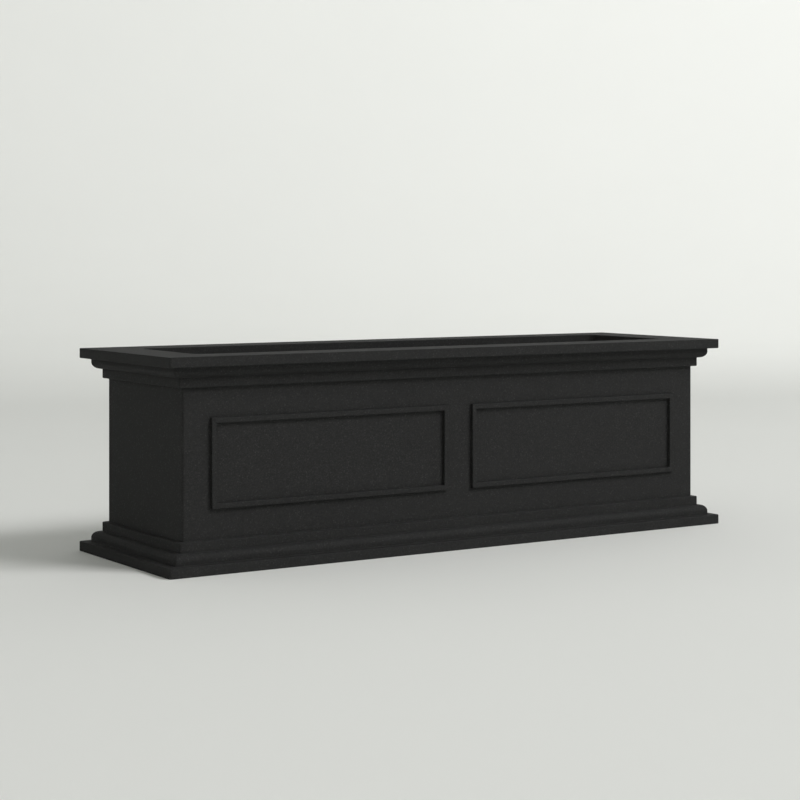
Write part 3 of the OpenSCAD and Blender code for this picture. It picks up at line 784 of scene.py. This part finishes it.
def fill_tube():
    low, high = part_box("fill_tube")
    inner = FILL_R - 2 * MM
    bm = turned(
        [
            (FILL_R, low.z, 0.4 * MM), (FILL_R, high.z, 0.4 * MM), (inner, high.z, 0.4 * MM),
            (inner, low.z, 0.4 * MM),
        ],
        (0, 0, 0), 96,
    )
    for turn in (45, 135):
        notch = block(
            (-FILL_R - 5 * MM, -4 * MM, low.z - 5 * MM), (FILL_R + 5 * MM, 4 * MM, low.z + 10 * MM), 1 * MM
        )
        bmesh.ops.rotate(
            notch, verts=notch.verts, cent=(0, 0, 0), matrix=Matrix.Rotation(radians(turn), 3, "Z")
        )
        bm = carved(bm, notch)
    bmesh.ops.translate(bm, verts=bm.verts, vec=(FILL.x, FILL.y, 0))
    stand_in("fill_pipe", bm, "fill_tube")


def fill_collar():
    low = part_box("fill_collar")[0].z
    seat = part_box("fill_tube")[1].z
    mouth = 17 * MM
    body = turned(
        [
            (COLLAR_R, low, CRISP), (COLLAR_R, HINGE_Z - 5 * MM, 0),
            (COLLAR_R - 0.6 * MM, HINGE_Z - 4.4 * MM, 0),
            (COLLAR_R - 0.6 * MM, HINGE_Z - 3.8 * MM, 0), (COLLAR_R, HINGE_Z - 3.2 * MM, 0),
            (COLLAR_R, HINGE_Z, CRISP), (mouth, HINGE_Z, CRISP), (mouth, seat, CRISP), (FILL_R, seat, 0),
            (FILL_R, low, CRISP),
        ],
        (FILL.x, FILL.y, 0), 96,
    )
    parts = [body]
    for side in (-1, 1):
        y = FILL.y + side * (KNUCKLE_W / 2 + 0.3 * MM + EAR_W / 2)
        hole = 1.5 * MM
        parts.append(turned(
            [
                (hole, -EAR_W / 2, 0), (KNUCKLE_R, -EAR_W / 2, 0.4 * MM), (KNUCKLE_R, EAR_W / 2, 0.4 * MM),
                (hole, EAR_W / 2, 0),
            ],
            (HINGE_X, y, HINGE_Z), 40, along=(0, 1, 0),
        ))
        parts.append(block(
            (
                HINGE_X - KNUCKLE_R, y - EAR_W / 2, HINGE_Z - 8 * MM
            ), (HINGE_X + 6 * MM, y + EAR_W / 2, HINGE_Z - 2.2 * MM),
            0.5 * MM,
        ))
    stand_in("fill_collar_moulded", joined(*parts), "fill_collar")


def fill_cap():
    """Flip cap: a low crowned disc with a finger rim, a seating plug, a thumb tab and a hinge knuckle."""
    low, top = HINGE_Z + 0.3 * MM, HINGE_Z + 3.3 * MM
    cap_r, plug_r = 23.5 * MM, 16.4 * MM
    disc = turned(
        [
            (0, HINGE_Z, 0), (plug_r - 2 * MM, HINGE_Z, 0.3 * MM), (plug_r - 2 * MM, HINGE_Z - 4 * MM, CRISP),
            (plug_r, HINGE_Z - 4 * MM, WORN), (plug_r, low, 0.3 * MM), (cap_r, low, CRISP),
            (cap_r, top, WORN),
            (cap_r - 4 * MM, top, 0.4 * MM), (cap_r - 5 * MM, top - 0.7 * MM, 0.4 * MM),
            (0, top - 0.7 * MM, 0),
        ],
        (FILL.x, FILL.y, 0), 96, closed=False,
    )
    tab = block(
        (FILL.x + cap_r - 3 * MM, FILL.y - 6 * MM, low),
        (FILL.x + cap_r + 6 * MM, FILL.y + 6 * MM, low + 2 * MM), 0.8 * MM
    )
    knuckle = turned(
        [
            (1.57 * MM, -KNUCKLE_W / 2, 0), (KNUCKLE_R, -KNUCKLE_W / 2, 0.4 * MM),
            (KNUCKLE_R, KNUCKLE_W / 2, 0.4 * MM), (1.57 * MM, KNUCKLE_W / 2, 0),
        ],
        (HINGE_X, FILL.y, HINGE_Z), 40, along=(0, 1, 0),
    )
    strap = block(
        (HINGE_X + 1 * MM, FILL.y - KNUCKLE_W / 2, low + 0.4 * MM),
        (HINGE_X + 12 * MM, FILL.y + KNUCKLE_W / 2, top - 0.3 * MM), 0.5 * MM,
    )
    ridges = [
        block(
            (FILL.x + dx * MM - 0.5 * MM, FILL.y - 7 * MM, top - 1 * MM),
            (FILL.x + dx * MM + 0.5 * MM, FILL.y + 7 * MM, top), 0.3 * MM,
        )
        for dx in (8, 11, 14)
    ]
    stand_in("flip_cap", joined(disc, tab, knuckle, strap, *ridges), "fill_cap")


def hinge_pin():
    low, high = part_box("cap_hinge_pin")
    section = [(0, low.y, 0), (1.5 * MM, low.y, 0.3 * MM), (1.5 * MM, high.y, 0.3 * MM), (0, high.y, 0)]
    stand_in(
        "hinge_pin", turned(section, (HINGE_X, 0, HINGE_Z), 32, closed=False, along=(0, 1, 0)),
        "cap_hinge_pin",
    )


def floor_seal(node, name, tube_r, lip):
    """Rubber grommet where a tube passes the liner's floor."""
    centre = middle(node)
    outer = tube_r + 3 * MM
    section = [
        (tube_r, FLOOR_Z - 1.5 * MM, 0.3 * MM), (outer, FLOOR_Z - 1.5 * MM, CRISP), (outer, FLOOR_TOP, 0),
        (tube_r + lip, FLOOR_TOP, CRISP), (tube_r + lip, FLOOR_TOP + 2 * MM, WORN),
        (tube_r, FLOOR_TOP + 2 * MM, 0.3 * MM),
    ]
    stand_in(name, turned(section, (centre.x, centre.y, 0), 72), node)


def wall_clip(node, name, tube_r, tube_node):
    """Ring clip on a short foot against the liner's back wall."""
    low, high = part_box(node)
    centre = middle(tube_node)
    ring = turned(
        [
            (tube_r, low.z, 0.4 * MM), (tube_r + 2.5 * MM, low.z, CRISP), (tube_r + 2.5 * MM, high.z, CRISP),
            (tube_r, high.z, 0.4 * MM),
        ],
        (centre.x, centre.y, 0), 72,
    )
    foot = block(
        (centre.x - 8 * MM, centre.y + tube_r + 0.5 * MM, low.z), (centre.x + 8 * MM, high.y, high.z), CRISP
    )
    stand_in(name, joined(ring, foot), node)


# ---- Level gauge ----

GAUGE = middle("gauge_tube")
GAUGE_R = 12 * MM
GAUGE_IN = GAUGE_R - 1.8 * MM


def gauge():
    at = (GAUGE.x, GAUGE.y, 0)
    low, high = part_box("gauge_tube")
    wall = [
        (GAUGE_R, low.z, 0.3 * MM), (GAUGE_R, high.z, 0.3 * MM),
        (GAUGE_IN, high.z, 0.3 * MM), (GAUGE_IN, low.z, 0.3 * MM),
    ]
    tube(wall, at, "sight_tube", "gauge_tube")
    low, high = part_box("gauge_foot")
    stop = 5 * MM
    ring = [
        (stop, low.z, CRISP), (GAUGE_R, low.z, CRISP), (GAUGE_R, low.z + 3 * MM, 0.3 * MM),
        (GAUGE_IN, low.z + 3 * MM, 0.2 * MM), (GAUGE_IN, high.z, CRISP), (stop, high.z, CRISP),
    ]
    tube(ring, at, "sight_tube_stop", "gauge_foot")
    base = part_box("gauge_tube")[1].z
    outer = GAUGE_R + 2 * MM
    dome = [(GAUGE_R, base - 10 * MM, 0.3 * MM), (outer, base - 10 * MM, CRISP), (outer, base, 0)]
    rise = [radians(10 * k) for k in range(1, 9)]
    dome += [(outer * cos(a), base + outer * sin(a), 0) for a in rise] + [(0, base + outer, 0)]
    under = [(0, base + GAUGE_IN, 0)] + [
        (GAUGE_IN * cos(a), base + GAUGE_IN * sin(a), 0) for a in reversed(rise)
    ]
    under += [(GAUGE_IN, base, 0), (GAUGE_R, base, 0)]
    dome_bm = turned(dome + under, at, 72)
    flat = [f for f in dome_bm.faces if f.calc_area() < 1e-12]
    bmesh.ops.delete(dome_bm, geom=flat, context="FACES_ONLY")
    stand_in("sight_dome", dome_bm, "gauge_lens")


def float_and_rod():
    at = (GAUGE.x, GAUGE.y, 0)
    low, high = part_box("level_float")
    radius = (high.x - low.x) / 2
    section = [(0, low.z, 0), (radius, low.z, 3 * MM), (radius, high.z, 3 * MM), (0, high.z, 0)]
    stand_in("foam_float", turned(section, at, 64, closed=False), "level_float")
    low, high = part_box("level_rod")
    section = [
        (0, low.z - 1 * MM, 0), (2.5 * MM, low.z - 1 * MM, 0), (2.5 * MM, high.z, 1.8 * MM), (0, high.z, 0)
    ]
    stand_in("red_rod", turned(section, at, 40, closed=False), "level_rod")


# ---- Lift handles ----

WIRE_R, BEND_R, BAIL_REACH, PIVOT_STUB = 3 * MM, 6 * MM, 45 * MM, 6.5 * MM


def handle(side, word):
    """Steel bail bent from one wire, with a ribbed sleeve over its cross bar."""
    arm_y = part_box(f"{word}_handle_bail")[1].y - PIVOT_STUB - BEND_R
    bm = bmesh.new()
    ring = bmesh.ops.create_circle(
        bm, segments=20, radius=WIRE_R, matrix=Matrix.Rotation(radians(90), 4, "X")
    )["verts"]
    start_y = arm_y + BEND_R + PIVOT_STUB
    bmesh.ops.translate(bm, verts=ring, vec=(0, start_y, 0))
    edges = bm.edges[:]
    bmesh.ops.edgeloop_fill(bm, edges=edges)

    def straight(edges, vec):
        made = bmesh.ops.extrude_edge_only(bm, edges=edges)["geom"]
        fresh = {g for g in made if isinstance(g, bmesh.types.BMVert)}
        bmesh.ops.translate(bm, verts=list(fresh), vec=vec)
        return [g for g in made if isinstance(g, bmesh.types.BMEdge) and fresh.issuperset(g.verts)]

    def bend(edges, centre, angle):
        made = bmesh.ops.spin(bm, geom=edges, cent=centre, axis=(0, 0, 1), angle=angle, steps=8)["geom_last"]
        return [g for g in made if isinstance(g, bmesh.types.BMEdge)]

    edges = straight(edges, (0, -PIVOT_STUB, 0))
    edges = bend(edges, (BEND_R, arm_y + BEND_R, 0), pi / 2)
    edges = straight(edges, (BAIL_REACH - 2 * BEND_R, 0, 0))
    edges = bend(edges, (BAIL_REACH - BEND_R, arm_y - BEND_R, 0), -pi / 2)
    edges = straight(edges, (0, -2 * (arm_y - BEND_R), 0))
    edges = bend(edges, (BAIL_REACH - BEND_R, -arm_y + BEND_R, 0), -pi / 2)
    edges = straight(edges, (-BAIL_REACH + 2 * BEND_R, 0, 0))
    edges = bend(edges, (BEND_R, -arm_y - BEND_R, 0), pi / 2)
    edges = straight(edges, (0, -PIVOT_STUB, 0))
    bmesh.ops.edgeloop_fill(bm, edges=edges)
    bmesh.ops.recalc_face_normals(bm, faces=bm.faces)
    if side < 0:
        bmesh.ops.rotate(bm, verts=bm.verts, cent=(0, 0, 0), matrix=Matrix.Rotation(pi, 3, "Z"))
    bmesh.ops.translate(bm, verts=bm.verts, vec=(side * PIVOT_X, 0, PIVOT_Z))
    stand_in(f"{word}_wire_bail", bm, f"{word}_handle_bail")
    low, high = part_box(f"{word}_handle_grip")
    grip_r = (high.z - low.z) / 2
    ribs = 13
    pitch = (high.y - low.y - 8 * MM) / ribs
    section = [(WIRE_R, low.y, 0.3 * MM), (grip_r, low.y, WORN)]
    for k in range(ribs + 1):
        y = low.y + 4 * MM + k * pitch
        section += [(grip_r, y - 0.9 * MM, 0.3 * MM), (grip_r - 0.6 * MM, y - 0.5 * MM, 0.2 * MM),
                    (grip_r - 0.6 * MM, y + 0.5 * MM, 0.2 * MM), (grip_r, y + 0.9 * MM, 0.3 * MM)]
    section += [(grip_r, high.y, WORN), (WIRE_R, high.y, 0.3 * MM)]
    at = (side * (PIVOT_X + BAIL_REACH), 0, PIVOT_Z)
    stand_in(f"{word}_ribbed_grip", turned(section, at, 48, along=(0, 1, 0)), f"{word}_handle_grip")


# ---- Build the pieces ----

casing()
tank()
overflow()
drain()
liner()
for number in range(1, 5):
    wick_cup(number)
fill_tube()
fill_collar()
fill_cap()
hinge_pin()
floor_seal("fill_grommet", "fill_pipe_seal", FILL_R, 5.5 * MM)
floor_seal("gauge_grommet", "sight_tube_seal", GAUGE_R, 6 * MM)
wall_clip("fill_tube_clip", "fill_pipe_clip", FILL_R, "fill_tube")
wall_clip("gauge_tube_clip", "sight_tube_clip", GAUGE_R, "gauge_tube")
gauge()
float_and_rod()
handle(-1, "left")
handle(1, "right")
softened("bottom_plate", "base_plate", 0.6 * MM)
softened("plate_screws", "base_screws", 0.25 * MM)
softened("brass_inserts", "threaded_inserts", 0.2 * MM)
for number in range(1, 7):
    softened(f"foot_pad_{number}", f"rubber_foot_{number}", 0.8 * MM)


# ---- Studio ----


def sweep():
    """A pale floor that curves up into a wall all round, so that no edge shows from any side."""
    reach, cove, top = 6.0, 4.0, 9.0
    bm = bmesh.new()
    arc = [Vector((reach + cove * sin(radians(a)), cove - cove * cos(radians(a)))) for a in range(0, 91, 5)]
    points = [Vector((0, 0))] + arc + [Vector((reach + cove, top))]
    verts = [bm.verts.new((p.x, 0, p.y)) for p in points]
    for a, b in zip(verts, verts[1:]):
        bm.edges.new((a, b))
    bmesh.ops.spin(
        bm, geom=bm.verts[:] + bm.edges[:], cent=(0, 0, 0), axis=(0, 0, 1), angle=2 * pi, steps=96,
        use_merge=True,
    )
    bmesh.ops.remove_doubles(bm, verts=bm.verts, dist=MM)
    for face in bm.faces:
        if face.normal.z < 0:
            face.normal_flip()
    mesh = bpy.data.meshes.new("sweep")
    bm.to_mesh(mesh)
    bm.free()
    mesh.shade_smooth()
    material, tree, place = new_finish("pale_sweep")
    tone = noise(tree, place, 1.5, 2)
    colour = mixed(tree, tone, (0.80, 0.805, 0.785, 1), (0.815, 0.82, 0.80, 1))
    close(tree, add(tree, "BsdfPrincipled", Base_Color=colour, Roughness=0.9, Specular_IOR_Level=0.0))
    mesh.materials.append(material)
    floor = bpy.data.objects.new("sweep", mesh)
    bpy.context.scene.collection.objects.link(floor)


def panel_light(name, where, target, size, power):
    """A soft rectangular light that faces its target."""
    light = bpy.data.lights.new(name, "AREA")
    light.shape, light.size, light.size_y, light.energy = "RECTANGLE", size[0], size[1], power
    lamp = bpy.data.objects.new(name, light)
    lamp.location = where
    lamp.rotation_euler = (Vector(target) - Vector(where)).to_track_quat("-Z", "Y").to_euler()
    lamp.visible_camera = False
    bpy.context.scene.collection.objects.link(lamp)


def studio():
    scene = bpy.context.scene
    sweep()
    world = bpy.data.worlds.new("studio")
    world.use_nodes = True
    background = world.node_tree.nodes["Background"]
    background.inputs["Color"].default_value = (0.98, 1.0, 0.96, 1)
    background.inputs["Strength"].default_value = 0.31
    scene.world = world
    panel_light("key", (3.8, -5.2, 6.2), (0, 0, 0.1), (3.6, 3.6), 470)
    panel_light("backdrop", (3.8, 0.8, 6.1), (6.6, 7.0, 6.2), (3.6, 2.0), 350)
    camera = bpy.data.cameras.new("camera")
    camera.sensor_width, camera.lens = 36, 87.05
    camera.shift_y = -0.1889
    holder = bpy.data.objects.new("camera", camera)
    holder.location = (-1.5288, -2.3179, 0.4126)
    holder.rotation_euler = (radians(90), 0, -0.5757)
    scene.collection.objects.link(holder)
    scene.camera = holder
    scene.view_settings.view_transform = "Standard"


studio()
